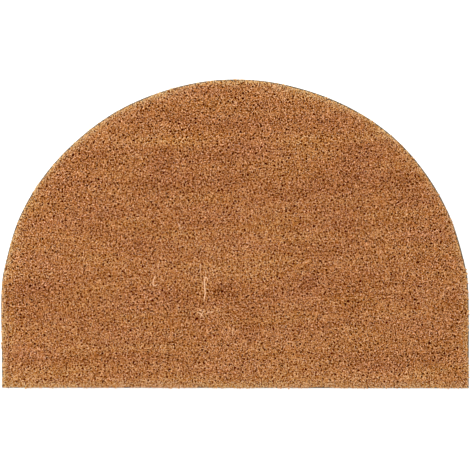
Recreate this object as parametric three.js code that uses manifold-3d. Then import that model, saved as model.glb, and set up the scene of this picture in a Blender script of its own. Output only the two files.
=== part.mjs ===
// A half round doormat lying flat: a sheared coir pile on a PVC backing.
// Units are millimetres and +Z is up. The origin is at the middle of the underside,
// the straight edge lies towards -Y and the crown of the arc towards +Y.
import * as THREE from "three";
import { mergeVertices } from "three/addons/utils/BufferGeometryUtils.js";
import Module from "manifold-3d";

const wasm = await Module();
wasm.setup();

// Outline, measured in the photo: a half round cut a little unevenly, with shoulders fuller than a circle's.
// The sides rise straight from the front's ends, and the curve over them starts a little below the arc's centre.
const frontLeft = new THREE.Vector2(-298.7, -197.7);
const frontRight = new THREE.Vector2(300, -198.3);
const sideLeft = new THREE.Vector2(-299.4, -136); // where the curve takes over from the straight side
const sideRight = new THREE.Vector2(300.1, -136);
const shoulderLeft = new THREE.Vector2(-299.6, -72.9); // above the side, just before the arc turns inwards
const shoulderRight = new THREE.Vector2(299.3, -72.9);
const arcCentreY = -104.4;
const arcReaches = [
  300, 302, 303.5, 304.8, 305.8, 304.5, 302.8, 302.6, 302.4, 301.8, 302.4, 302.3, 303.3, 303.6, 301.9, 300,
]; // from the arc's centre to the cut edge, at even turns from the right side to the left
const arcCuts = 6; // straight cuts of the backing from one of those places to the next

// Layers
const backingThickness = 3;
const seam = 0.3; // between the backing and the roots of the pile
const pileTop = 14.7; // mean height of the sheared tips above the floor

// Rim of the pile: locks a tuft or two wide, no two alike, that flare a little above their roots.
// Inset is from the outline to the mean wall, and lock is the share of a lock's full depth and lean.
const lockWidth = 9;
const lockDepth = 1.1; // from the mean wall to a lock's ridge, or to the groove beside it
const lockUnevenness = 0.8; // of a lock's depth
const lockLean = 2.2; // along the outline, either way
const lockSlide = 0.3; // of the way to the next lock or groove, either way
const rimLevels = [
  { height: backingThickness + seam, inset: 0.9, lock: 0.5 },
  { height: 8, inset: 0.3, lock: 1 },
  { height: 12.2, inset: 1, lock: 1 },
  { height: 14.1, inset: 3.2, lock: 0.9 },
  { height: 17.5, inset: 10, lock: 0.3 },
];

// Surface of the pile: clumps of tufts, sheared to a nearly even height
const clumpPitch = 15;
const clumpHeight = 0.6; // from the mean surface to a clump's top, or to the dip beside it
const clumpSlide = 0.28; // of the pitch, either way
const swellHeight = 0.35; // of the slow rise and fall across the mat
const swellLength = { x: 210, y: 145 };

// Places closer than this are one corner when a mesh becomes a solid
const weldDistance = 1e-4;

// A number from -1 to 1 that looks random and is always the same for the same three whole numbers.
function scatter(i, j, draw) {
  const value = Math.sin(i * 127.1 + j * 311.7 + draw * 74.7) * 43758.5453;
  return 2 * (value - Math.floor(value)) - 1;
}

// The cut outline, anticlockwise from the left end of the straight edge.
function outlineShape() {
  const arc = arcReaches.map((reach, i) => {
    const turn = (Math.PI * i) / (arcReaches.length - 1);
    return new THREE.Vector2(reach * Math.cos(turn), arcCentreY + reach * Math.sin(turn));
  });
  return new THREE.Shape()
    .moveTo(frontLeft.x, frontLeft.y)
    .lineTo(frontRight.x, frontRight.y)
    .lineTo(sideRight.x, sideRight.y)
    .splineThru([arc[0], shoulderRight, ...arc.slice(1, -1), shoulderLeft, arc.at(-1), sideLeft])
    .lineTo(frontLeft.x, frontLeft.y);
}

// Points round the outline, uneven steps apart, corners included, each with the way along and out.
function outlineStations(step) {
  const places = outlineShape().curves.flatMap((curve, side) => {
    const count = Math.max(1, Math.round(curve.getLength() / step));
    return Array.from({ length: count }, (_, i) => {
      const slide = i === 0 ? 0 : lockSlide * scatter(i, side, 1);
      return curve.getPointAt((i + slide) / count);
    });
  });
  return places.map((place, i) => {
    const before = places.at(i - 1);
    const after = places[(i + 1) % places.length];
    const along = after.clone().sub(before).normalize();
    return { place, along, outward: new THREE.Vector2(along.y, -along.x) };
  });
}

function toSolid(geometry) {
  const bare = geometry.clone();
  bare.deleteAttribute("normal");
  bare.deleteAttribute("uv");
  const merged = mergeVertices(bare, weldDistance);
  return new wasm.Manifold(
    new wasm.Mesh({
      numProp: 3,
      vertProperties: new Float32Array(merged.attributes.position.array),
      triVerts: new Uint32Array(merged.index.array),
    }),
  );
}

function toGeometry(solid) {
  const { vertProperties, triVerts } = solid.getMesh();
  const geometry = new THREE.BufferGeometry();
  geometry.setAttribute("position", new THREE.BufferAttribute(vertProperties, 3));
  geometry.setIndex(new THREE.BufferAttribute(triVerts, 1));
  geometry.computeVertexNormals();
  return geometry;
}

// A point of the pile's wall. Odd stations are the ridges of locks, and even ones the grooves.
function wallPoint(station, index, level, row) {
  const side = index % 2 ? 1 : -1;
  const relief = side + lockUnevenness * scatter(index, row, 2);
  const reach = lockDepth * level.lock * relief - level.inset;
  const lean = lockLean * level.lock * scatter(index, 0, 3);
  return station.place.clone().addScaledVector(station.outward, reach).addScaledVector(station.along, lean);
}

// The space inside the pile's wall: a lathe of the wall's levels, bent from a circle to the outline.
function rimGeometry() {
  const stations = outlineStations(lockWidth / 2);
  const wall = rimLevels.map(({ height }) => new THREE.Vector2(1, height));
  const bottomCentre = new THREE.Vector2(0, rimLevels[0].height);
  const topCentre = new THREE.Vector2(0, rimLevels.at(-1).height);
  const profile = [bottomCentre, ...wall, topCentre];
  const geometry = new THREE.LatheGeometry(profile, stations.length);
  const position = geometry.attributes.position;
  for (let turn = 0; turn <= stations.length; turn++) {
    const index = turn % stations.length;
    profile.forEach((corner, row) => {
      const level = rimLevels[row - 1];
      const at = level ? wallPoint(stations[index], index, level, row) : new THREE.Vector2();
      position.setXYZ(turn * profile.length + row, at.x, at.y, corner.y);
    });
  }
  return geometry;
}

// Height of the pile's surface. The column and row number the clumps.
function surfaceHeight(x, y, column, row) {
  const swell = Math.sin((2 * Math.PI * x) / swellLength.x) * Math.cos((2 * Math.PI * y) / swellLength.y);
  return pileTop + swellHeight * swell + clumpHeight * scatter(column, row, 4);
}

// A sheet wider than the mat whose upper face is the clumped surface of the pile.
// Its lower face lies inside the backing's layer, below the foot of the pile's wall.
function surfaceGeometry() {
  const size = new THREE.Box2().setFromPoints(outlineShape().getPoints()).getSize(new THREE.Vector2());
  const columns = Math.ceil(size.x / clumpPitch) + 2;
  const rows = Math.ceil(size.y / clumpPitch) + 2;
  const lowerFace = backingThickness / 2;
  const geometry = new THREE.BoxGeometry(columns * clumpPitch, rows * clumpPitch, 1, columns, rows, 1);
  const position = geometry.attributes.position;
  for (let i = 0; i < position.count; i++) {
    const column = Math.round(position.getX(i) / clumpPitch + columns / 2);
    const row = Math.round(position.getY(i) / clumpPitch + rows / 2);
    const inside = column > 0 && column < columns && row > 0 && row < rows;
    const slide = inside ? clumpSlide * clumpPitch : 0;
    const x = position.getX(i) + slide * scatter(column, row, 5);
    const y = position.getY(i) + slide * scatter(column, row, 6);
    const above = position.getZ(i) > 0;
    position.setXYZ(i, x, y, above ? surfaceHeight(x, y, column, row) : lowerFace);
  }
  return geometry;
}

function makeBacking() {
  const geometry = new THREE.ExtrudeGeometry(outlineShape(), {
    depth: backingThickness,
    bevelEnabled: false,
    curveSegments: arcCuts,
  });
  const material = new THREE.MeshStandardMaterial({ color: 0x2b2823, roughness: 0.7, metalness: 0 });
  const mesh = new THREE.Mesh(geometry, material);
  mesh.name = "backing";
  return mesh;
}

function makePile() {
  const pile = toSolid(rimGeometry()).intersect(toSolid(surfaceGeometry()));
  const material = new THREE.MeshStandardMaterial({ color: 0xa76d41, roughness: 0.95, metalness: 0 });
  const mesh = new THREE.Mesh(toGeometry(pile), material);
  mesh.name = "pile";
  return mesh;
}

const doormat = new THREE.Group();
doormat.add(makeBacking(), makePile());

export default doormat;
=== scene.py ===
"""The looks of a half round doormat: cut coir strands in tufts on a dark PVC backing, seen from above.

Sizes are in metres, apart from names that end in MM. The straight edge lies towards -Y and the crown
of the arc towards +Y. A pair of numbers is the least and the most, unless its comment says otherwise.
"""

import math

import bpy
import numpy as np
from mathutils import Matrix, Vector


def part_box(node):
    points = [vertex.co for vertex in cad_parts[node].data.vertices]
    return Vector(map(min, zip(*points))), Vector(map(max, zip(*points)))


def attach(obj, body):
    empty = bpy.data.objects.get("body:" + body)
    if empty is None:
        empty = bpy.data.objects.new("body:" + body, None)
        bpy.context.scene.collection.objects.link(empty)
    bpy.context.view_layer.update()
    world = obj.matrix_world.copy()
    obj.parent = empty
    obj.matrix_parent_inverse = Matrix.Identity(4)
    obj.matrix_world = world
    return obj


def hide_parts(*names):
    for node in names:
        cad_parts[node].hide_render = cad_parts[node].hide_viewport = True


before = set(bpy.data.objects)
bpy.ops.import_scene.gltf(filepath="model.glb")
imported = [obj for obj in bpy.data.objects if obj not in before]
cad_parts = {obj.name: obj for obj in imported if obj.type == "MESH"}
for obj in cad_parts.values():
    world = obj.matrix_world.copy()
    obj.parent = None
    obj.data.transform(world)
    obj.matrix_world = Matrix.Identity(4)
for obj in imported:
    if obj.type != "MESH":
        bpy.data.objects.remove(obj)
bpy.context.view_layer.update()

MM = 0.001

# The photograph's frame, and where the mat's middle lies in it
FRAME_PIXELS = 470
MAT_MIDDLE_PIXEL = (234.9, 233.7)
PIXEL = 1.283 * MM

# Outline, from the frame: the backing is cut to it. The arc is kept as distances from a centre, by angle.
ARC_CENTRE_Y = -104.4 * MM
ARC_MARGIN = 0.1 * MM  # corners this little below the centre still count as the arc's
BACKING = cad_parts["backing"]
CUT = np.array([BACKING.matrix_world @ vertex.co for vertex in BACKING.data.vertices])[:, :2]
HALF_WIDTH = CUT[:, 0].max()
FRONT_LEFT = CUT[(CUT[:, 0] + CUT[:, 1]).argmin()]
FRONT_RIGHT = CUT[(CUT[:, 0] - CUT[:, 1]).argmax()]
FRONT_Y = CUT[:, 1].min()
BACK_Y = CUT[:, 1].max()
ARC = CUT[CUT[:, 1] > ARC_CENTRE_Y - ARC_MARGIN]
ARC = ARC[ARC[:, 0].argsort()[::-1]]
ARC_ANGLES = np.arctan2(np.maximum(ARC[:, 1] - ARC_CENTRE_Y, 0), ARC[:, 0])
ARC_REACHES = np.hypot(ARC[:, 0], ARC[:, 1] - ARC_CENTRE_Y)
SIDES = [(FRONT_LEFT, FRONT_RIGHT), (FRONT_RIGHT, ARC[0]), (ARC[-1], FRONT_LEFT)]

# Heights of the pile
_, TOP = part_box("pile")
TOP_Z = TOP[2]
TIP_Z = 14.8 * MM
ROOT_Z = 3.3 * MM

# Grids of the pile. A jitter is how far a grid's points are moved, as a share of its step, and a noise's
# reach is the number of neighbours on each side from which it differs.
STRAND_STEP = 1.12 * MM
STRAND_JITTER = 0.48
STRAND_NOISE_REACH = 2
TUFT_STEP = 4.6 * MM
TUFT_JITTER = 0.32
CLUSTER_STEP = 1.9 * MM  # strands this near each other have much the same tone
CLUSTER_JITTER = 0.42
CLUSTER_NOISE_REACH = 1

# Gaps: the small dark hollows among the tufts
GAP_STEP = 5.0 * MM
GAP_JITTER = 0.47
GAP_RADIUS = (0.75 * MM, 1.75 * MM)
GAP_CROWDING = (1.0, 1.35)  # strands inside a gap are moved out to these shares of its radius
GAP_EDGE = 1.5 * MM  # how far outside a gap its edge still tells
GAP_EDGE_DIP = 0.5 * MM  # how much lower the strands at its edge end
GAP_EDGE_TONE = 0.06  # and how much paler they are
GAP_INSET = 6 * MM  # nearer the mat's edge than this the gaps are smaller
GAP_SMALLER = 0.5

# Strands of the field, inside the rim
FIELD_PIECES = 4
FIELD_ROOT_Z = 6.5 * MM  # they start here, out of sight in the bed
TUFT_LEAN = 0.14  # spreads of the lean, as shares of the height
STRAND_LEAN = 0.2
TUFT_LIFT = 0.2 * MM  # spreads of the tips' heights
STRAND_LIFT = 0.25 * MM
LOW_SHARE = 0.10  # of the strands, which end lower
LOW_BY_MM = (0.4, 1.8)
CUT_HALF_WIDTH_MM = (0.36, 0.56)
CUT_LEAST_LENGTH = 1.1  # half the length of a cut end, in half widths
CUT_MORE_LENGTH = 2.4  # and what is added to it, at most
TURN_SPREAD = 0.6  # of the cut ends of a tuft, in radians

# Strands of the rim, which bend outwards over the backing
RIM_BAND = 8.6 * MM  # they stand this near the edge
RIM_BEND_BAND = RIM_BAND + 1 * MM  # the bend fades out over this
RIM_ROOTS = 1.2 * MM  # between the edge and the outermost roots
RIM_PUSH = 1.8 * MM  # how far the outermost strands bend over the backing
RIM_PUSH_FRONT = 1.5 * MM  # along the straight edge they hide it
FRONT_SWELL = 0.7 * MM  # how unevenly they do so
FRONT_SWELL_LENGTH = 55 * MM
FRONT_FACING = -0.5  # the outward direction of a place at the straight edge has less Y than this
TUFT_PUSH = (0.8, 1.2)
STRAND_PUSH = (0.35, 1.2)
RIM_STUNTED = 0.6  # share of the tufts at the sides that leave the backing's edge in sight
CROWN_STUNTED = 0.22  # what the crown adds to that share
STUNTED_PULL_MM = 2.2  # how far those bend inwards
STUNTED_PULL = (0.3, 1)
TUFT_FAN = 0.5 * MM  # spreads of the bend along the edge
STRAND_FAN = 0.7 * MM
RIM_FALL = 2.6 * MM  # how much lower the tips at the edge are
RIM_FALL_BAND = 5 * MM
RIM_FALL_LIMIT = 1.2  # for tips beyond the edge, before the square
RIM_RAGGEDNESS = 0.9 * MM
RIM_LEAST_HEIGHT = 2 * MM
RIM_MIDDLE = (0.45, 0.55)  # shares of a strand's foot and of its tip in the height of its middle
RIM_MIDDLE_OUT = (0.68, 0.32)  # and in its place
RIM_RADIUS_MM = (0.55, 0.8)
RIM_TAPER = [0.8, 1.0, 0.9]
FIRST_ALONG = 0.9  # what a bent or laid strand has for "along", which sets its painted shade, at its first ring. At its last it has 1.

# Loose strands that lie on the pile
LAID_COUNT = 4600
LAID_Z = 15.0 * MM
LAID_INSET = 5 * MM
LAID_CLEARANCE = 2.2 * MM  # between their middles and the hollows
LAID_RINGS = 4
LAID_BEND = 0.5  # spread of the turn from the middle to an end, in radians
LAID_LENGTH = (3 * MM, 9 * MM)
LAID_UNEVENNESS = 0.3 * MM
LAID_DIP = 1.0 * MM  # how far their ends reach down into the pile
LAID_RADIUS_MM = (0.26, 0.42)
LAID_TAPER = [0.6, 1, 1, 0.6]
LAID_PALE_SHARE = 0.7
LAID_PALE = (0.1, 0.35)  # what is added to the tone of the pale ones
LAID_DARK = (-0.35, -0.15)  # and to the tone of the others

# Bed: the mass of fibre low in the pile, too fine to show strand by strand
BED_Z = 11.0 * MM
BED_STEP = 1.7 * MM
BED_JITTER = 0.25
BED_INSET = 2.6 * MM
BED_FALL = 3.2 * MM  # how much lower the bed is next to its wall
BED_SHOULDER = 7.0 * MM  # it falls over this much
BED_ROUGHNESS_MM = (-0.7, 0.9)
BED_WALL_ROUGHNESS_MM = (-0.5, 0.5)
BED_WALL_LEVELS = (0.5, 0.0)  # of the wall's rows of corners, as shares of its height
BED_GAP_DEPTH = 6.0 * MM
BED_GAP_FULLNESS = 1.25  # more than 1 gives the hollow under a gap a flat floor
BED_GAP_MARGIN = 0.6 * MM
BED_TOP_ALONG = 0.15  # what the bed has for "along" at its highest places, and on its wall and underside: low, so painted shade darkens it
BED_WALL_ALONG = 0.3

# Seeds of the random draws
SEEDS = {
    "strand grid": 21, "tuft grid": 22, "gap grid": 23, "gap radii": 24, "tuft tones": 25,
    "cluster grid": 26, "strand noise": 27, "cluster noise": 28, "field": 31, "field tufts": 32,
    "rim": 51, "rim tufts": 52, "front swell": 53, "bed": 61, "laid": 71,
}

# What makes up a strand's tone and its warmth
MIDDLE_TONE = 0.45
OWN_TONE = 0.25
CLUSTER_TONE = 0.10
TUFT_TONE = 0.035
PATCH_TONE = 1.4
EDGE_LIGHT_TONE = 0.66
MIDDLE_WARMTH = 0.45
TUFT_WARMTH = 0.03
SHADE_WARMTH = 1.5
PATCH_WARMTH = 0.2

# Slow changes of tone and of warmth: the length of the waves, their seed, how much longer they are
# along X, and their share
SLOW_TONES = [(13 * MM, 14, 24, 0.018), (24 * MM, 11, 6, 0.010), (75 * MM, 12, 3, 0.012)]
SLOW_WARMTH = [(32 * MM, 13, 4, 0.08)]
WAVES = 14
WAVE_SIZES = (0.6, 1.7)  # shares of the length

# Edge light: the pile is lighter and more golden near the edge, over a wider and weaker band near the
# front.
# Part of it is the paler sides of the strands that splay there. Part is painted light: the edge is less
# shaded than the inner pile, and its left side is lit more than its right.
EDGE_LIGHT_REACH = 4.8 * MM
FRONT_LIGHT_REACH = 12 * MM
FRONT_LIGHT_SHARE = 0.42
EDGE_LIGHT_CORE = 1 * MM  # it grows no further nearer the edge than this
RIGHT_LIGHT_LOSS = 0.15  # painted light lost at the right side, and won at the left one, nearer the lamp
SIDES_LIGHT_LOSS = 0.3  # lost at both sides

# Colours as stops of a ramp: a position, and an sRGB colour of 0 to 255. A strand's tone finds its place
# between dark and pale, and its warmth mixes the russet ramp with the golden one.
RUSSET = [(0.12, (98, 41, 2)), (0.5, (165, 108, 65)), (0.9, (196, 143, 112)), (1.0, (226, 168, 136))]
GOLDEN = [(0.12, (108, 47, 0)), (0.5, (177, 116, 47)), (0.9, (196, 155, 99)), (1.0, (202, 172, 129))]
# Painted shade: this ramp darkens and reddens the fibre by its "along", from 0 low in the pile to 1 at a
# cut end, as shade falls among the strands.
PAINTED_DEPTH_SHADE = [(0.0, (104, 6, 0)), (0.5, (186, 80, 0)), (0.85, (242, 202, 134)), (1.0, (255, 255, 255))]
BACKING_TONES = [(0.3, (62, 48, 28)), (0.7, (100, 80, 48))]
FLOOR_COLOUR = (244, 244, 244)

# Surfaces. Distances are in metres, and a noise's scale is the number of its waves in a metre.
MOTTLE_SCALE = 900
MOTTLE_DETAIL = 2
MOTTLE_SHARE = 0.22
COIR_GRAIN_SCALE = 4200
COIR_GRAIN_DETAIL = 2
COIR_BUMP = (0.35, 0.0001)  # strength and distance
COIR_ROUGHNESS = 0.85
PVC_CLOUD_SCALE = 45
PVC_CLOUD_DETAIL = 5
PVC_GRAIN_SCALE = 1400
PVC_GRAIN_DETAIL = 3
PVC_BUMP = (0.4, 0.0002)  # strength and distance
PVC_ROUGHNESS = 0.6
FLOOR_ROUGHNESS = 0.9

# Camera, stage and lights
LENS_MM = 300
SENSOR_MM = 36
SEEN_Z = 3 * MM  # the height at which the frame's width is set: the backing's upper face
FAR_CLIP = 50
FLOOR_REACH = 6.0
FLOOR_Z = -0.2 * MM
SKY_STRENGTH = 1.25
KEY_PLACE = (-0.6, 0.6, 2.8)
KEY_SIZE = 2.0
KEY_WATTS = 110


def pixel_place(px, py):
    """The X and Y in the row frame of a pixel of the photograph."""
    x = (px - MAT_MIDDLE_PIXEL[0]) * PIXEL
    y = (MAT_MIDDLE_PIXEL[1] - py) * PIXEL
    return x, y


# Softly darker, lighter, redder or more golden patches. Each has its middle and its half sizes
# in the photograph's pixels, then what it adds to the tone and to the warmth.
PATCHES = [
    (160, 165, 8, 10, -0.11, -0.2), (222, 290, 13, 6, -0.13, -0.3), (308, 282, 9, 9, -0.08, -0.3),
    (345, 230, 9, 7, -0.07, 0.0), (225, 178, 13, 6, -0.07, -0.2), (185, 119, 13, 6, -0.07, 0.0),
    (240, 127, 44, 6, -0.06, 0.0), (402, 182, 46, 9, -0.05, -0.2), (325, 187, 40, 6, -0.05, -0.1),
    (190, 187, 42, 6, -0.05, -0.1), (98, 160, 16, 8, -0.04, 0.0), (355, 153, 11, 8, -0.05, -0.2),
    (414, 226, 15, 9, -0.03, 0.0), (139, 246, 11, 5, -0.06, 0.1), (100, 225, 16, 6, -0.06, 0.0),
    (30, 315, 15, 6, -0.06, -0.1), (32, 290, 22, 5, -0.06, -0.2), (176, 300, 13, 5, -0.05, 0.0),
    (95, 357, 45, 4, -0.05, -0.1), (354, 300, 11, 19, -0.05, 0.0), (430, 356, 20, 7, -0.05, 0.1),
    (452, 306, 8, 12, -0.06, -0.2), (252, 325, 11, 12, -0.05, -0.1), (197, 318, 5, 3, -0.12, 0.0),
    (285, 268, 8, 9, -0.03, -0.1), (60, 191, 22, 6, -0.05, -0.2), (145, 290, 30, 4, -0.04, -0.2),
    (165, 130, 23, 5, 0.07, 0.3), (166, 142, 36, 4, 0.06, 0.2), (290, 139, 28, 4, 0.04, 0.2),
    (228, 271, 56, 6, 0.06, 0.3), (205, 288, 6, 10, 0.07, 0.1), (130, 263, 31, 4, 0.05, 0.2),
    (345, 262, 16, 5, 0.05, 0.3), (215, 311, 15, 4, 0.05, 0.2), (396, 240, 22, 5, 0.05, 0.1),
    (420, 375, 15, 6, 0.06, 0.3), (300, 313, 19, 8, 0.03, 0.1), (58, 236, 31, 4, 0.05, 0.1),
    (262, 343, 5, 9, 0.04, 0.2), (286, 368, 13, 5, 0.05, 0.4), (230, 326, 9, 6, 0.05, 0.3),
    (40, 370, 26, 4, 0.04, 0.2), (201, 313, 3, 3, 0.12, 0.2), (292, 240, 40, 6, 0.03, 0.4),
    (24, 348, 26, 11, 0.05, 0.2), (12, 325, 3, 50, 0.02, 0.8), (122, 346, 44, 5, 0.06, 0.2),
    (400, 315, 30, 8, 0.06, 0.2), (294, 343, 28, 5, 0.05, 0.2), (114, 137, 24, 5, 0.08, 0.2),
    (372, 137, 20, 5, 0.06, 0.2), (298, 96, 24, 6, 0.07, 0.1), (210, 91, 26, 5, -0.07, -0.1),
    (234, 157, 44, 4, -0.06, 0.0), (396, 164, 22, 4, 0.05, 0.1), (72, 172, 24, 4, 0.05, 0.1),
    (150, 184, 38, 5, -0.05, -0.1), (176, 221, 26, 4, -0.07, 0.0), (225, 250, 30, 7, 0.06, 0.2),
    (84, 256, 24, 4, 0.05, 0.2), (168, 268, 26, 6, 0.06, 0.2), (46, 276, 24, 4, 0.06, 0.1),
    (368, 276, 20, 5, -0.06, 0.0), (354, 296, 34, 5, -0.06, 0.0), (352, 331, 18, 7, 0.06, 0.2),
    (385, 343, 44, 4, 0.06, 0.2), (360, 357, 26, 4, -0.05, 0.0), (84, 362, 44, 4, -0.05, -0.1),
    (446, 373, 18, 5, -0.06, 0.0), (400, 199, 22, 4, -0.04, -0.1), (330, 171, 18, 5, -0.05, 0.0),
    (352, 252, 20, 4, -0.05, 0.0), (58, 220, 22, 4, 0.05, 0.2), (186, 174, 12, 5, -0.05, 0.0),
    (433, 301, 15, 5, 0.06, 0.1), (386, 293, 14, 4, -0.05, 0.0), (360, 233, 14, 5, -0.05, 0.0),
    (266, 228, 15, 4, 0.05, 0.1), (281, 179, 18, 6, 0.05, 0.1), (153, 305, 14, 4, -0.05, 0.0),
]
PATCH_SHARPNESS = 0.8

# Dark hollows that stand out: their places in the photograph's pixels, and their radii
HOLLOWS = [
    (196.8, 318.8, 2.5 * MM), (194.4, 314, 1.9 * MM), (429, 343, 2.0 * MM), (334, 342, 1.6 * MM),
    (334.2, 346, 1.7 * MM), (334, 350, 1.5 * MM), (179, 124, 2.0 * MM), (222, 291, 2.0 * MM),
    (360, 281, 2.0 * MM), (421, 118.5, 1.7 * MM), (61, 319, 2.1 * MM), (30.5, 286, 2.0 * MM),
    (418, 262, 1.9 * MM), (353, 311, 1.9 * MM), (331, 294, 1.9 * MM), (283, 376, 1.9 * MM),
    (174, 345, 1.9 * MM),
]

# A thin dark line that runs beside the left edge, where two rows of tufts part
# Its strands end lower and its bed lies deeper, and painted shade makes its strands darker and more russet.
SEAM_X_PIXEL = 9.0
SEAM_Y_PIXELS = (282, 378)
SEAM_HALF_WIDTH = 0.9 * MM
SEAM_DEPTH = (1 * MM, 3.5 * MM)
SEAM_BED_DEPTH = 1.75 * MM
SEAM_PAINTED_SHADE = 0.03  # painted shade, taken from the tone, and from the warmth
SEAM_REDDENING = 0.5

# Pale fibres that lie on the pile, as places in the photograph's pixels, with their radii
STRAYS = [
    (0.78 * MM, [(203.9, 300.5), (204.8, 296), (205.3, 292.5), (204.5, 286), (204.1, 280), (205.8, 276.6)]),
    (0.75 * MM, [(204.6, 279.4), (205.6, 277), (207.1, 277.4), (207.9, 280.8)]),
    (0.26 * MM, [(205.8, 276.6), (205.5, 273.5), (206.0, 270)]),
    (0.72 * MM, [(155.4, 275.5), (153.6, 280), (153.0, 284), (154.8, 286.2), (157.4, 284)]),
    (0.40 * MM, [(200.5, 264), (200.3, 267.5), (200.6, 271.5)]),
    (0.42 * MM, [(180.2, 223.6), (179.8, 226), (180.4, 229.5)]),
    (0.34 * MM, [(177.4, 222), (180, 226)]),
    (0.42 * MM, [(233.4, 328), (232.6, 332), (233, 336)]),
    (0.60 * MM, [(197.6, 312), (200.5, 313.4), (203.4, 316.4)]),
    (0.55 * MM, [(203.6, 311.4), (201.4, 314), (200.8, 317.4)]),
    (0.50 * MM, [(205.5, 313.6), (209, 312), (213.5, 311.4)]),
    (0.45 * MM, [(199, 309.6), (202, 311), (205, 311.2)]),
]
STRAY_TONE = 0.93
STRAY_WARMTH = 0.52
STRAY_RINGS = 16
STRAY_RISE = 1.0 * MM  # of their middles over the laid strands
STRAY_DIP = 1.4 * MM  # how far their ends reach down
STRAY_TAPER = 0.4  # share of the radius that is lost at an end
SMOOTHINGS = 3
CORNER_CUT = 0.25  # share of a stretch that a smoothing cuts off at each of its ends

# Corners of a strand's section, and where the corners of its faces lie in its cell of the bake map
SECTION = 3
CELL_LEFT, CELL_MIDDLE, CELL_RIGHT = 0.2, 0.5, 0.8
CELL_FOOT, CELL_LOW, CELL_HIGH, CELL_TIP = 0.02, 0.14, 0.86, 0.98

# Directions that no strand runs along: one for the upright strands, and one for those that lie
NO_STRAND_WAY = (0.31, 0.94, 0.13)
UPWARDS = (0, 0, 1)

GRID_MARGIN = 2  # rows and columns of a grid outside the mat, on each side
NO_LENGTH = 1e-12  # what a vector's length is divided by, at least
NO_DISTANCE = 1e-6  # and the distance of a strand from the middle of its gap


def unit(vectors):
    """Each vector brought to a length of 1."""
    return vectors / np.maximum(np.linalg.norm(vectors, axis=-1, keepdims=True), NO_LENGTH)


def slow_field(x, y, length, seed, stretch=1.0):
    """A smooth random field with a spread of about 1. Its waves are stretched along X."""
    rng = np.random.default_rng(seed)
    total = np.zeros_like(x)
    for _ in range(WAVES):
        angle = rng.uniform(0, math.pi)
        size = length * rng.uniform(*WAVE_SIZES)
        phase = rng.uniform(0, 2 * math.pi)
        along = x * math.cos(angle) / stretch + y * math.sin(angle)
        total += np.sin(2 * math.pi * along / size + phase)
    return total / math.sqrt(WAVES / 2)


def edge_distances(x, y):
    """How far each point lies inside each of the three straight sides, and inside the arc."""
    distances = []
    for start, end in SIDES:
        along = unit(end - start)
        distances.append(along[0] * (y - start[1]) - along[1] * (x - start[0]))
    reach = np.interp(np.arctan2(y - ARC_CENTRE_Y, x), ARC_ANGLES, ARC_REACHES)
    inside_arc = reach - np.hypot(x, y - ARC_CENTRE_Y)
    distances.append(np.where(y > ARC_CENTRE_Y, inside_arc, HALF_WIDTH))
    return np.stack(distances, axis=-1)


def inset_of(x, y):
    """How far each point lies inside the outline."""
    return edge_distances(x, y).min(axis=-1)


def outward_at(x, y):
    """The unit direction from each point to the nearest edge."""
    nearest = edge_distances(x, y).argmin(axis=-1)
    straight = [unit(end - start) for start, end in SIDES]
    normals = np.array([(along[1], -along[0]) for along in straight] + [(0, 0)])
    radial = unit(np.stack([x, y - ARC_CENTRE_Y], axis=-1))
    return np.where((nearest == len(SIDES))[..., None], radial, normals[nearest])


def new_object(name, points, triangles, values, material, corner_map=None):
    """A mesh object from arrays. Values are numbers for each vertex, by name."""
    mesh = bpy.data.meshes.new(name)
    mesh.vertices.add(len(points))
    mesh.vertices.foreach_set("co", points.astype(np.float32).ravel())
    mesh.loops.add(len(triangles) * 3)
    mesh.loops.foreach_set("vertex_index", triangles.astype(np.int32).ravel())
    mesh.polygons.add(len(triangles))
    mesh.polygons.foreach_set("loop_start", np.arange(0, len(triangles) * 3, 3, dtype=np.int32))
    mesh.update(calc_edges=True)
    for label, numbers in values.items():
        attribute = mesh.attributes.new(label, "FLOAT", "POINT")
        attribute.data.foreach_set("value", numbers.astype(np.float32).ravel())
    if corner_map is not None:
        layer = mesh.uv_layers.new(name="OFBake")
        layer.uv.foreach_set("vector", corner_map.astype(np.float32).ravel())
    mesh.materials.append(material)
    made = bpy.data.objects.new(name, mesh)
    bpy.context.scene.collection.objects.link(made)
    return made


def strand_triangles(rings):
    """The triangles of one strand with that many rings, and the place of each corner in its cell."""
    triangles = []
    places = []
    for ring in range(rings - 1):
        low = CELL_LOW + (CELL_HIGH - CELL_LOW) * ring / (rings - 1)
        high = CELL_LOW + (CELL_HIGH - CELL_LOW) * (ring + 1) / (rings - 1)
        for side in range(SECTION):
            a = ring * SECTION + side
            b = ring * SECTION + (side + 1) % SECTION
            triangles += [(a, b, b + SECTION), (a, b + SECTION, a + SECTION)]
            places += [[(CELL_LEFT, low), (CELL_RIGHT, low), (CELL_RIGHT, high)]]
            places += [[(CELL_LEFT, low), (CELL_RIGHT, high), (CELL_LEFT, high)]]
    top = (rings - 1) * SECTION
    triangles += [(2, 1, 0), (top, top + 1, top + 2)]
    places += [[(CELL_RIGHT, CELL_LOW), (CELL_LEFT, CELL_LOW), (CELL_MIDDLE, CELL_FOOT)]]
    places += [[(CELL_LEFT, CELL_HIGH), (CELL_RIGHT, CELL_HIGH), (CELL_MIDDLE, CELL_TIP)]]
    return np.array(triangles), np.array(places)


def repeated(one, corners, count):
    """The triangles of that many strands, from those of one strand and its number of corners."""
    return (np.arange(count)[:, None, None] * corners + one).reshape(-1, 3)


def bake_map(places, count):
    """Where the corners of each strand's triangles lie in the bake map: a square cell for each strand."""
    cells = math.ceil(math.sqrt(count))
    cell = np.stack([np.arange(count) % cells, np.arange(count) // cells], axis=-1)
    return (cell[:, None, None] + places) / cells


def section_axes(heading, across):
    """Two unit directions, square to each heading and to each other. No heading runs along across."""
    sideways = unit(np.cross(heading, np.array(across)))
    return sideways, np.cross(heading, sideways)


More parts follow.
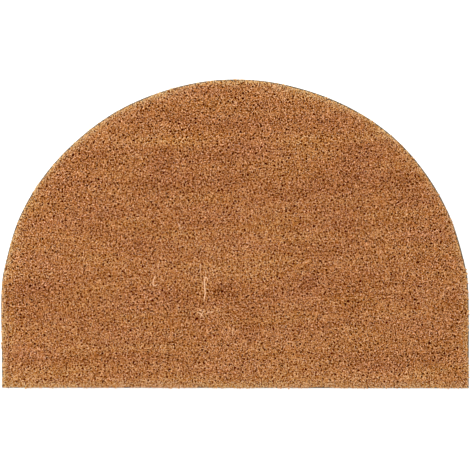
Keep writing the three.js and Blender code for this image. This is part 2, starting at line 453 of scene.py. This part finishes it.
def make_strands(name, routes, radii, spin, tone, warmth, first_along, across, material):
    """One mesh of closed strands. Routes hold each strand's points, and radii its size at each of them.

    Across is a direction that no strand runs along. Along starts at first_along and ends at 1.
    """
    count, rings, _ = routes.shape
    corners = rings * SECTION
    sideways, other = section_axes(unit(np.gradient(routes, axis=1)), across)
    angle = (spin[:, None] + 2 * math.pi * np.arange(SECTION) / SECTION)[:, None, :, None]
    ring_shape = np.cos(angle) * sideways[:, :, None] + np.sin(angle) * other[:, :, None]
    points = routes[:, :, None] + radii[:, :, None, None] * ring_shape
    one, places = strand_triangles(rings)
    along = np.linspace(first_along, 1, rings)[None, :, None]
    values = {
        "along": np.broadcast_to(along, (count, rings, SECTION)),
        "tone": np.repeat(tone, corners),
        "warmth": np.repeat(warmth, corners),
    }
    triangles = repeated(one, corners, count)
    return new_object(name, points.reshape(-1, 3), triangles, values, material, bake_map(places, count))


def make_spikes(name, root, tip, size, spin, tone, warmth, material):
    """One mesh of short strands, each a slim closed wedge from a point low in the bed to its cut end.

    Size holds half the width and half the length of each cut end.
    """
    count = len(root)
    corners = 1 + SECTION
    sideways, other = section_axes(unit(tip - root), NO_STRAND_WAY)
    wide = np.cos(spin)[:, None] * sideways + np.sin(spin)[:, None] * other
    long = np.cos(spin)[:, None] * other - np.sin(spin)[:, None] * sideways
    angle = 2 * math.pi * np.arange(SECTION) / SECTION
    across = (size[:, :1] * np.sin(angle))[..., None] * wide[:, None]
    end = tip[:, None] + across + (size[:, 1:] * np.cos(angle))[..., None] * long[:, None]
    points = np.concatenate([root[:, None], end], axis=1)
    one = np.array([(0, 1, 2), (0, 2, 3), (0, 3, 1), (1, 3, 2)])
    side = [(CELL_MIDDLE, CELL_LOW), (CELL_RIGHT, CELL_HIGH), (CELL_LEFT, CELL_HIGH)]
    cut = [(CELL_LEFT, CELL_HIGH), (CELL_RIGHT, CELL_HIGH), (CELL_MIDDLE, CELL_TIP)]
    places = np.array([side, side, side, cut])
    values = {
        "along": np.tile([0.0, 1.0, 1.0, 1.0], count),
        "tone": np.repeat(tone, corners),
        "warmth": np.repeat(warmth, corners),
    }
    triangles = repeated(one, corners, count)
    return new_object(name, points.reshape(-1, 3), triangles, values, material, bake_map(places, count))


class Scatter:
    """Points on an uneven square grid over the whole mat, each found again from its row and column."""

    def __init__(self, step, jitter, seed):
        self.step = step
        rng = np.random.default_rng(seed)
        rows = int((BACK_Y - FRONT_Y) / step) + 2 * GRID_MARGIN + 1
        columns = int(2 * HALF_WIDTH / step) + 2 * GRID_MARGIN + 1
        self.shape = (rows, columns)
        row, column = np.indices(self.shape)
        self.x = (column - GRID_MARGIN + rng.uniform(-jitter, jitter, self.shape)) * step - HALF_WIDTH
        self.y = (row - GRID_MARGIN + rng.uniform(-jitter, jitter, self.shape)) * step + FRONT_Y
        self.count = row.size

    def nearest(self, x, y):
        """The number of the nearest point of the grid to each place, and how far off it is."""
        column = np.rint((x + HALF_WIDTH) / self.step).astype(int) + GRID_MARGIN
        row = np.rint((y - FRONT_Y) / self.step).astype(int) + GRID_MARGIN
        best = np.full(len(x), np.inf)
        found = np.zeros(len(x), int)
        for step_row in (-1, 0, 1):
            for step_column in (-1, 0, 1):
                r = (row + step_row).clip(0, self.shape[0] - 1)
                c = (column + step_column).clip(0, self.shape[1] - 1)
                away = np.hypot(self.x[r, c] - x, self.y[r, c] - y)
                nearer = away < best
                best = np.where(nearer, away, best)
                found = np.where(nearer, r * self.shape[1] + c, found)
        return found, best

    def crisp_noise(self, seed, reach):
        """A random number for each point, less the mean of those in reach, so that neighbours differ."""
        values = np.random.default_rng(seed).normal(0, 1, self.shape)
        steps = range(-reach, reach + 1)
        around = sum(np.roll(values, (row, column), (0, 1)) for row in steps for column in steps)
        return (values - around / len(steps) ** 2).ravel()


def place_gaps():
    """The grid of the gaps and their radii. The nearest gaps are moved to the hollows of the photograph."""
    grid = Scatter(GAP_STEP, GAP_JITTER, SEEDS["gap grid"])
    radii = np.random.default_rng(SEEDS["gap radii"]).uniform(*GAP_RADIUS, grid.count)
    gap_x, gap_y = grid.x.ravel(), grid.y.ravel()
    for px, py, radius in HOLLOWS:
        x, y = pixel_place(px, py)
        nearest = np.hypot(gap_x - x, gap_y - y).argmin()
        gap_x[nearest], gap_y[nearest], radii[nearest] = x, y, radius
    grid.x, grid.y = gap_x.reshape(grid.shape), gap_y.reshape(grid.shape)
    radii[inset_of(gap_x, gap_y) < GAP_INSET] *= GAP_SMALLER
    return grid, radii


strand_grid = Scatter(STRAND_STEP, STRAND_JITTER, SEEDS["strand grid"])
strand_noise = strand_grid.crisp_noise(SEEDS["strand noise"], STRAND_NOISE_REACH)
tuft_grid = Scatter(TUFT_STEP, TUFT_JITTER, SEEDS["tuft grid"])
cluster_grid = Scatter(CLUSTER_STEP, CLUSTER_JITTER, SEEDS["cluster grid"])
cluster_noise = cluster_grid.crisp_noise(SEEDS["cluster noise"], CLUSTER_NOISE_REACH)
gap_grid, gap_radii = place_gaps()


def near_hollow(x, y):
    """Whether a strand that lies at each place would cover one of the hollows."""
    near = np.zeros(len(x), bool)
    for px, py, radius in HOLLOWS:
        middle_x, middle_y = pixel_place(px, py)
        near |= np.hypot(x - middle_x, y - middle_y) < radius + LAID_CLEARANCE
    return near


def in_seam(x, y):
    """Whether each place lies in the dark line beside the left edge."""
    seam_x, top_y = pixel_place(SEAM_X_PIXEL, SEAM_Y_PIXELS[0])
    _, low_y = pixel_place(SEAM_X_PIXEL, SEAM_Y_PIXELS[1])
    return (abs(x - seam_x) < SEAM_HALF_WIDTH) & (y > low_y) & (y < top_y)


def around_gaps(x, y, rng):
    """The places moved out of the gaps among the tufts, and each one's nearness to a gap's edge, 0 to 1."""
    gap, away = gap_grid.nearest(x, y)
    centre_x = gap_grid.x.ravel()[gap]
    centre_y = gap_grid.y.ravel()[gap]
    radius = gap_radii[gap]
    inside = away < radius
    target = np.where(inside, radius * rng.uniform(*GAP_CROWDING, len(x)), away)
    scale = target / np.maximum(away, NO_DISTANCE)
    nearness = (1 - (target - radius) / GAP_EDGE).clip(0, 1)
    return centre_x + (x - centre_x) * scale, centre_y + (y - centre_y) * scale, nearness


def painted_edge_light(x, y):
    """How much of the edge's paler tone and painted light reaches each place: most at the edge, and less on
    the right.
    """
    insets = edge_distances(x, y).clip(EDGE_LIGHT_CORE, None)
    side = outward_at(x, y)[:, 0]
    front = FRONT_LIGHT_SHARE * np.exp(-insets[:, 0] / FRONT_LIGHT_REACH)
    strength = 1 - RIGHT_LIGHT_LOSS * side - SIDES_LIGHT_LOSS * side**2
    rest = strength * np.exp(-insets[:, 1:].min(axis=-1) / EDGE_LIGHT_REACH)
    return np.maximum(front, rest)


def patch_shades(x, y):
    """What the patches add to the tone and to the warmth at each place."""
    tone = np.zeros(len(x))
    warmth = np.zeros(len(x))
    for px, py, half_x, half_y, more_tone, more_warmth in PATCHES:
        middle_x, middle_y = pixel_place(px, py)
        away = np.hypot((x - middle_x) / (half_x * PIXEL), (y - middle_y) / (half_y * PIXEL))
        share = np.exp(-PATCH_SHARPNESS * away**2)
        tone += more_tone * share
        warmth += more_warmth * share
    return tone, warmth


def slow_shades(x, y, fields):
    """The sum of slow fields, each given as its length, seed, stretch along X and share."""
    return sum(share * slow_field(x, y, length, seed, stretch) for length, seed, stretch, share in fields)


def tones(x, y, own):
    """The tone and warmth of each strand, from its place, its tuft, its cluster and its own noise."""
    tuft, _ = tuft_grid.nearest(x, y)
    cluster, _ = cluster_grid.nearest(x, y)
    tuft_rng = np.random.default_rng(SEEDS["tuft tones"])
    tuft_tone, tuft_warmth = tuft_rng.normal(0, 1, (2, tuft_grid.count))[:, tuft]
    patch_tone, patch_warmth = patch_shades(x, y)
    edge_light = painted_edge_light(x, y)
    shade = slow_shades(x, y, SLOW_TONES) + PATCH_TONE * patch_tone
    tone = MIDDLE_TONE + OWN_TONE * own + CLUSTER_TONE * cluster_noise[cluster]
    # Painted light near the edge, in part: it makes the strands there lighter and more golden
    tone = tone + TUFT_TONE * tuft_tone + shade + EDGE_LIGHT_TONE * edge_light
    warmth = MIDDLE_WARMTH + TUFT_WARMTH * tuft_warmth + slow_shades(x, y, SLOW_WARMTH)
    warmth += SHADE_WARMTH * shade + PATCH_WARMTH * patch_warmth + edge_light
    return tone, warmth


def make_field(material):
    """The sheared pile inside the rim. The strands are shared out between the pieces in turn."""
    rng = np.random.default_rng(SEEDS["field"])
    x, y = strand_grid.x.ravel(), strand_grid.y.ravel()
    kept = inset_of(x, y) > RIM_BAND
    x, y, own = x[kept], y[kept], strand_noise[kept]
    count = len(x)
    tuft, _ = tuft_grid.nearest(x, y)
    tuft_rng = np.random.default_rng(SEEDS["field tufts"])
    lean = tuft_rng.normal(0, TUFT_LEAN, (tuft_grid.count, 2))[tuft]
    lift = tuft_rng.normal(0, TUFT_LIFT, tuft_grid.count)[tuft]
    lean += rng.normal(0, STRAND_LEAN, lean.shape)
    tip_x, tip_y, nearness = around_gaps(x, y, rng)
    tip_z = TIP_Z + lift + rng.normal(0, STRAND_LIFT, count) - GAP_EDGE_DIP * nearness
    tip_z -= (rng.uniform(0, 1, count) < LOW_SHARE) * rng.uniform(*LOW_BY_MM, count) * MM
    tip_z -= in_seam(tip_x, tip_y) * rng.uniform(*SEAM_DEPTH, count)
    tip_z = np.minimum(tip_z, TOP_Z)
    reach = tip_z - FIELD_ROOT_Z
    tip = np.column_stack([tip_x, tip_y, tip_z])
    root = np.column_stack([tip_x, tip_y, np.full(count, FIELD_ROOT_Z)])
    root[:, :2] -= lean * reach[:, None]
    width = rng.uniform(*CUT_HALF_WIDTH_MM, count) * MM
    slant = CUT_LEAST_LENGTH + CUT_MORE_LENGTH * rng.uniform(0, 1, count) ** 2
    size = np.column_stack([width, width * slant])
    turn = tuft_rng.uniform(0, 2 * math.pi, tuft_grid.count)[tuft]
    spin = turn + rng.normal(0, TURN_SPREAD, count)
    tone, warmth = tones(tip_x, tip_y, own)
    # Painted shade in the dark line beside the left edge
    tone += GAP_EDGE_TONE * nearness - SEAM_PAINTED_SHADE * in_seam(tip_x, tip_y)
    warmth -= SEAM_REDDENING * in_seam(tip_x, tip_y)
    made = []
    for number in range(FIELD_PIECES):
        mine = slice(number, None, FIELD_PIECES)
        name = f"pile_field_{number + 1}"
        parts = [values[mine] for values in (root, tip, size, spin, tone, warmth)]
        made.append(make_spikes(name, *parts, material))
    return made


def rim_bends(root, root_inset, outward, rng):
    """How far the tip of each strand of the rim lies outwards of its root, and along the edge."""
    count = len(root)
    at_front = outward[:, 1] < FRONT_FACING
    tuft, _ = tuft_grid.nearest(root[:, 0], root[:, 1])
    tuft_rng = np.random.default_rng(SEEDS["rim tufts"])
    tuft_fan = tuft_rng.normal(0, 1, tuft_grid.count)[tuft]
    tuft_push = tuft_rng.uniform(*TUFT_PUSH, tuft_grid.count)[tuft]
    bare = np.where(at_front, 0, RIM_STUNTED + CROWN_STUNTED * outward[:, 1])
    stunted = tuft_rng.uniform(0, 1, tuft_grid.count)[tuft] < bare
    nearness = (1 - root_inset / RIM_BEND_BAND).clip(0, 1)
    swell = FRONT_SWELL * slow_field(root[:, 0], np.zeros(count), FRONT_SWELL_LENGTH, SEEDS["front swell"])
    reach = np.where(at_front, RIM_PUSH_FRONT + swell, RIM_PUSH)
    push = reach * nearness * tuft_push * rng.uniform(*STRAND_PUSH, count)
    pull = -STUNTED_PULL_MM * nearness * rng.uniform(*STUNTED_PULL, count) * MM
    fan = TUFT_FAN * tuft_fan + rng.normal(0, STRAND_FAN, count)
    return np.where(stunted, pull, push), fan


def make_rim(material):
    """The strands nearest the edge, which bend outwards over the backing."""
    rng = np.random.default_rng(SEEDS["rim"])
    root = np.stack([strand_grid.x.ravel(), strand_grid.y.ravel()], axis=-1)
    root_inset = inset_of(root[:, 0], root[:, 1])
    kept = (root_inset > RIM_ROOTS) & (root_inset <= RIM_BAND)
    root, root_inset, own = root[kept], root_inset[kept], strand_noise[kept]
    count = len(root)
    outward = outward_at(root[:, 0], root[:, 1])
    along = np.stack([-outward[:, 1], outward[:, 0]], axis=-1)
    push, fan = rim_bends(root, root_inset, outward, rng)
    tip_xy = root + outward * push[:, None] + along * fan[:, None]
    tip_x, tip_y, _ = around_gaps(tip_xy[:, 0], tip_xy[:, 1], rng)
    tip_inset = inset_of(tip_x, tip_y)
    fall = RIM_FALL * (1 - tip_inset / RIM_FALL_BAND).clip(0, RIM_FALL_LIMIT) ** 2
    tip_z = TIP_Z - fall - rng.uniform(0, RIM_RAGGEDNESS, count)
    tip_z = np.clip(tip_z, ROOT_Z + RIM_LEAST_HEIGHT, TOP_Z)
    tip = np.column_stack([tip_x, tip_y, tip_z])
    foot = np.column_stack([root, np.full(count, ROOT_Z)])
    middle = foot * RIM_MIDDLE[0] + tip * RIM_MIDDLE[1]
    middle[:, :2] = root * RIM_MIDDLE_OUT[0] + tip[:, :2] * RIM_MIDDLE_OUT[1]
    routes = np.stack([foot, middle, tip], axis=1)
    size = rng.uniform(*RIM_RADIUS_MM, count) * MM
    radii = size[:, None] * np.array(RIM_TAPER)
    spin = rng.uniform(0, 2 * math.pi, count)
    tone, warmth = tones(tip_x, tip_y, own)
    shape = (routes, radii, spin, tone, warmth)
    return make_strands("pile_rim", *shape, FIRST_ALONG, NO_STRAND_WAY, material)


def make_laid(material):
    """Loose and bent strands that lie on the pile, their ends tucked into it."""
    rng = np.random.default_rng(SEEDS["laid"])
    x = rng.uniform(-HALF_WIDTH, HALF_WIDTH, 2 * LAID_COUNT)
    y = rng.uniform(FRONT_Y, BACK_Y, 2 * LAID_COUNT)
    kept = np.flatnonzero((inset_of(x, y) > LAID_INSET) & ~near_hollow(x, y))[:LAID_COUNT]
    x, y = x[kept], y[kept]
    count = len(x)
    share = np.linspace(-1, 1, LAID_RINGS)
    turn = rng.uniform(0, 2 * math.pi, count)[:, None]
    heading = turn + rng.normal(0, LAID_BEND, count)[:, None] * share
    length = rng.uniform(*LAID_LENGTH, count)
    step = (length / (LAID_RINGS - 1))[:, None]
    east = np.cumsum(np.cos(heading) * step, axis=1)
    north = np.cumsum(np.sin(heading) * step, axis=1)
    east += (x - east.mean(axis=1))[:, None]
    north += (y - north.mean(axis=1))[:, None]
    unevenness = rng.uniform(-LAID_UNEVENNESS, LAID_UNEVENNESS, count)[:, None]
    height = LAID_Z + unevenness - LAID_DIP * share**2
    routes = np.stack([east, north, height], axis=-1)
    radii = rng.uniform(*LAID_RADIUS_MM, count)[:, None] * MM * np.array(LAID_TAPER)
    spin = rng.uniform(0, 2 * math.pi, count)
    tone, warmth = tones(x, y, np.zeros(count))
    pale = rng.uniform(0, 1, count) < LAID_PALE_SHARE
    tone += np.where(pale, rng.uniform(*LAID_PALE, count), rng.uniform(*LAID_DARK, count))
    shape = (routes, radii, spin, tone, warmth)
    return make_strands("pile_laid", *shape, FIRST_ALONG, UPWARDS, material)


def smooth_route(places, count):
    """That many places, even steps apart, along a smooth line past the given ones."""
    line = np.array(places)
    for _ in range(SMOOTHINGS):
        near = line[:-1] * (1 - CORNER_CUT) + line[1:] * CORNER_CUT
        far = line[:-1] * CORNER_CUT + line[1:] * (1 - CORNER_CUT)
        line = np.concatenate([line[:1], np.stack([near, far], axis=1).reshape(-1, 2), line[-1:]])
    run = np.concatenate([[0], np.cumsum(np.linalg.norm(np.diff(line, axis=0), axis=1))])
    even = np.linspace(0, run[-1], count)
    return np.column_stack([np.interp(even, run, line[:, 0]), np.interp(even, run, line[:, 1])])


def make_strays(material):
    """The pale fibres that stand out in the photograph."""
    share = np.linspace(-1, 1, STRAY_RINGS)
    height = LAID_Z + STRAY_RISE - STRAY_DIP * share**4
    routes = []
    for _, places in STRAYS:
        line = smooth_route([pixel_place(px, py) for px, py in places], STRAY_RINGS)
        routes.append(np.column_stack([line, height]))
    thickness = np.array([radius for radius, _ in STRAYS])
    radii = thickness[:, None] * (1 - STRAY_TAPER * share**4)
    count = len(STRAYS)
    spin = np.linspace(0, 1, count)
    shape = (np.array(routes), radii, spin, np.full(count, STRAY_TONE), np.full(count, STRAY_WARMTH))
    return make_strands("pile_strays", *shape, 1, UPWARDS, material)


def bed_heights(x, y, rng):
    """The bed's height at each place, and how deep it lies under its own mean level."""
    gap, away = gap_grid.nearest(x, y)
    hollow = BED_GAP_DEPTH * (BED_GAP_FULLNESS - away / (gap_radii[gap] + BED_GAP_MARGIN)).clip(0, 1)
    shoulder = BED_FALL * (1 - (inset_of(x, y) - BED_INSET) / BED_SHOULDER).clip(0, 1) ** 2
    depth = hollow + rng.uniform(*BED_ROUGHNESS_MM, len(x)) * MM + in_seam(x, y) * SEAM_BED_DEPTH
    return BED_Z - depth - shoulder, depth


def bed_grid():
    """The corners of the bed on an even grid, and its squares as four numbers of corners each."""
    columns = np.arange(-HALF_WIDTH, HALF_WIDTH + BED_STEP, BED_STEP)
    rows = np.arange(FRONT_Y, BACK_Y + BED_STEP, BED_STEP)
    x, y = np.meshgrid(columns, rows)
    middle_x = (x[1:, 1:] + x[:-1, :-1]) / 2
    middle_y = (y[1:, 1:] + y[:-1, :-1]) / 2
    kept = inset_of(middle_x, middle_y) > BED_INSET + BED_STEP / 2
    number = np.arange(x.size).reshape(x.shape)
    around = (number[:-1, :-1], number[:-1, 1:], number[1:, 1:], number[1:, :-1])
    quads = np.stack([corner[kept] for corner in around], axis=-1)
    used, quads = np.unique(quads, return_inverse=True)
    return np.stack([x.ravel()[used], y.ravel()[used]], axis=-1), quads.reshape(-1, 4)


def border_of(quads, count):
    """The corners on the border of the squares, in turn round it, out of count corners in all."""
    edges = np.concatenate([quads[:, [i, (i + 1) % 4]] for i in range(4)])
    key = edges[:, 0].astype(np.int64) * count + edges[:, 1]
    twin = edges[:, 1].astype(np.int64) * count + edges[:, 0]
    outer = edges[~np.isin(key, twin)]
    follows = dict(outer.tolist())
    loop = [outer[0, 0]]
    while follows[loop[-1]] != loop[0]:
        loop.append(follows[loop[-1]])
    return np.array(loop)


def make_bed(material):
    """The matted fibre low in the pile, from which the strands stand up: a rough slab with a rough wall."""
    rng = np.random.default_rng(SEEDS["bed"])
    place, quads = bed_grid()
    loop = border_of(quads, len(place))
    outward = outward_at(place[:, 0], place[:, 1])
    shift = inset_of(place[:, 0], place[:, 1]) - BED_INSET
    inner = np.ones(len(place), bool)
    inner[loop] = False
    place[loop] += outward[loop] * shift[loop, None]
    place[inner] += rng.uniform(-BED_JITTER, BED_JITTER, (inner.sum(), 2)) * BED_STEP
    height, depth = bed_heights(place[:, 0], place[:, 1], rng)
    points = [np.column_stack([place, height])]
    triangles = [quads[:, [0, 1, 2]], quads[:, [0, 2, 3]]]
    above = loop
    count = len(place)
    for level in BED_WALL_LEVELS:
        roughness = rng.uniform(*BED_WALL_ROUGHNESS_MM, (len(loop), 1)) * MM
        ring = place[loop] + outward[loop] * roughness
        ring_z = ROOT_Z + level * (height[loop] - ROOT_Z)
        points.append(np.column_stack([ring, ring_z]))
        below = count + np.arange(len(loop))
        count += len(loop)
        next_above, next_below = np.roll(above, -1), np.roll(below, -1)
        triangles.append(np.stack([above, below, next_below], axis=-1))
        triangles.append(np.stack([above, next_below, next_above], axis=-1))
        above = below
    points.append(np.array([[0.0, (FRONT_Y + BACK_Y) / 2, ROOT_Z]]))
    centre = np.full(len(loop), count)
    triangles.append(np.stack([above, centre, np.roll(above, -1)], axis=-1))
    points = np.concatenate(points)
    triangles = np.concatenate(triangles)
    # Painted shade: the bed is darker and redder the deeper its hollows go
    along = np.full(len(points), BED_WALL_ALONG)
    along[: len(depth)] = BED_TOP_ALONG * (1 - depth / BED_GAP_DEPTH).clip(0, 1)
    tone, warmth = tones(points[:, 0], points[:, 1], rng.normal(0, 1, len(points)))
    values = {"along": along, "tone": tone, "warmth": warmth}
    return new_object("pile_bed", points, triangles, values, material)


def linear(colour):
    """An sRGB colour of 0 to 255 as linear light, by the curve that sRGB is defined with."""
    share = np.array(colour) / 255
    return tuple(np.where(share <= 0.04045, share / 12.92, ((share + 0.055) / 1.055) ** 2.4))


def new_material(name):
    """A material, its node tree, and its shader."""
    made = bpy.data.materials.new(name)
    made.use_nodes = True
    return made, made.node_tree, made.node_tree.nodes["Principled BSDF"]


def node(tree, kind, place, **settings):
    """A new node of that kind, at that place in the node editor."""
    made = tree.nodes.new(kind)
    made.location = place
    for key, value in settings.items():
        setattr(made, key, value)
    return made


def attribute(tree, place, name):
    """The number that each vertex of the mesh keeps under that name."""
    return node(tree, "ShaderNodeAttribute", place, attribute_name=name).outputs["Fac"]


def noise(tree, place, vector, scale, detail):
    """The value of a noise, from 0 to 1."""
    made = node(tree, "ShaderNodeTexNoise", place)
    made.inputs["Scale"].default_value = scale
    made.inputs["Detail"].default_value = detail
    tree.links.new(vector, made.inputs["Vector"])
    return made.outputs["Fac"]


def ramp(tree, place, factor, stops):
    """The colour that a ramp gives for the factor. Stops are a position and an sRGB colour of 0 to 255."""
    made = node(tree, "ShaderNodeValToRGB", place)
    elements = made.color_ramp.elements
    while len(elements) < len(stops):
        elements.new(0.5)  # its position is set below
    for element, (position, colour) in zip(elements, stops):
        element.position = position
        element.color = (*linear(colour), 1)
    tree.links.new(factor, made.inputs["Fac"])
    return made.outputs["Color"]


def mix(tree, place, first, second, **settings):
    """A node that mixes two colours."""
    made = node(tree, "ShaderNodeMix", place, data_type="RGBA", **settings)
    tree.links.new(first, made.inputs["A"])
    tree.links.new(second, made.inputs["B"])
    return made


def add_bump(tree, place, shader, height, strength, distance):
    """Make the shader's surface rise and fall with the height."""
    made = node(tree, "ShaderNodeBump", place)
    made.inputs["Strength"].default_value = strength
    made.inputs["Distance"].default_value = distance
    tree.links.new(height, made.inputs["Height"])
    tree.links.new(made.outputs["Normal"], shader.inputs["Normal"])


def coir_material():
    """Coconut fibre: red brown to golden strands, with painted shade that makes them darker and redder down
    towards their roots.
    """
    made, tree, shader = new_material("coir")
    link = tree.links.new
    tone = attribute(tree, (-1200, 300), "tone")
    warmth = attribute(tree, (-1200, 100), "warmth")
    along = attribute(tree, (-1200, -100), "along")
    place = node(tree, "ShaderNodeTexCoord", (-1500, -300)).outputs["Object"]
    mottle = noise(tree, (-1200, -300), place, MOTTLE_SCALE, MOTTLE_DETAIL)
    mottled = node(tree, "ShaderNodeMath", (-1000, 250), operation="MULTIPLY_ADD")
    mottled.inputs[1].default_value = MOTTLE_SHARE
    link(mottle, mottled.inputs[0])
    link(tone, mottled.inputs[2])
    russet = ramp(tree, (-800, 400), mottled.outputs[0], RUSSET)
    golden = ramp(tree, (-800, 150), mottled.outputs[0], GOLDEN)
    # Painted shade: darker and redder deeper in the pile
    depth_shade = ramp(tree, (-800, -100), along, PAINTED_DEPTH_SHADE)
    blend = mix(tree, (-500, 300), russet, golden)
    link(warmth, blend.inputs["Factor"])
    shade = mix(tree, (-250, 200), blend.outputs["Result"], depth_shade, blend_type="MULTIPLY")
    shade.inputs["Factor"].default_value = 1
    link(shade.outputs["Result"], shader.inputs["Base Color"])
    grain = noise(tree, (-500, -350), place, COIR_GRAIN_SCALE, COIR_GRAIN_DETAIL)
    add_bump(tree, (-250, -300), shader, grain, *COIR_BUMP)
    shader.inputs["Roughness"].default_value = COIR_ROUGHNESS
    shader.inputs["Specular IOR Level"].default_value = 0
    return made


def pvc_material():
    """Dark flexible PVC with a fine grain and a slightly uneven, dusty tone."""
    made, tree, shader = new_material("pvc")
    place = node(tree, "ShaderNodeTexCoord", (-1100, 0)).outputs["Object"]
    cloud = noise(tree, (-850, 150), place, PVC_CLOUD_SCALE, PVC_CLOUD_DETAIL)
    colour = ramp(tree, (-600, 150), cloud, BACKING_TONES)
    tree.links.new(colour, shader.inputs["Base Color"])
    grain = noise(tree, (-850, -200), place, PVC_GRAIN_SCALE, PVC_GRAIN_DETAIL)
    add_bump(tree, (-350, -150), shader, grain, *PVC_BUMP)
    shader.inputs["Roughness"].default_value = PVC_ROUGHNESS
    return made


def make_camera():
    """Straight above the mat, far off with a long lens, as the photograph was taken."""
    half_frame = FRAME_PIXELS / 2 * PIXEL
    data = bpy.data.cameras.new("camera")
    data.lens = LENS_MM
    data.sensor_width = SENSOR_MM
    data.clip_end = FAR_CLIP
    camera = bpy.data.objects.new("camera", data)
    x, y = pixel_place(FRAME_PIXELS / 2, FRAME_PIXELS / 2)
    camera.location = (x, y, SEEN_Z + half_frame * LENS_MM / (SENSOR_MM / 2))
    bpy.context.scene.collection.objects.link(camera)
    bpy.context.scene.camera = camera


def make_stage():
    """A plain, nearly white floor, wide enough for every view."""
    made, _, shader = new_material("floor")
    shader.inputs["Base Color"].default_value = (*linear(FLOOR_COLOUR), 1)
    shader.inputs["Roughness"].default_value = FLOOR_ROUGHNESS
    mesh = bpy.data.meshes.new("floor")
    ways = [(-1, -1), (1, -1), (1, 1), (-1, 1)]
    corners = [(way_x * FLOOR_REACH, way_y * FLOOR_REACH, FLOOR_Z) for way_x, way_y in ways]
    mesh.from_pydata(corners, [], [(0, 1, 2, 3)])
    mesh.materials.append(made)
    floor = bpy.data.objects.new("floor", mesh)
    bpy.context.scene.collection.objects.link(floor)


def make_lights():
    """Soft light from all round, and one large lamp high on the left."""
    world = bpy.data.worlds.new("studio")
    world.use_nodes = True
    background = world.node_tree.nodes["Background"]
    background.inputs["Color"].default_value = (1, 1, 1, 1)
    background.inputs["Strength"].default_value = SKY_STRENGTH
    bpy.context.scene.world = world
    data = bpy.data.lights.new("key", "AREA")
    data.energy = KEY_WATTS
    data.size = KEY_SIZE
    key = bpy.data.objects.new("key", data)
    key.location = KEY_PLACE
    key.rotation_mode = "QUATERNION"
    key.rotation_quaternion = (-key.location).to_track_quat("-Z", "Y")
    bpy.context.scene.collection.objects.link(key)


def main():
    """Dress the backing, build the pile over it, and set up the camera, the floor and the lights."""
    coir = coir_material()
    pvc = pvc_material()
    BACKING.data.materials.clear()
    BACKING.data.materials.append(pvc)
    bed = make_bed(coir)
    pile = [bed, *make_field(coir), make_rim(coir), make_laid(coir), make_strays(coir)]
    for piece in pile:
        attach(piece, "root")
        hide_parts("pile")
    make_camera()
    make_stage()
    make_lights()
    bpy.context.scene.view_settings.view_transform = "Standard"


main()
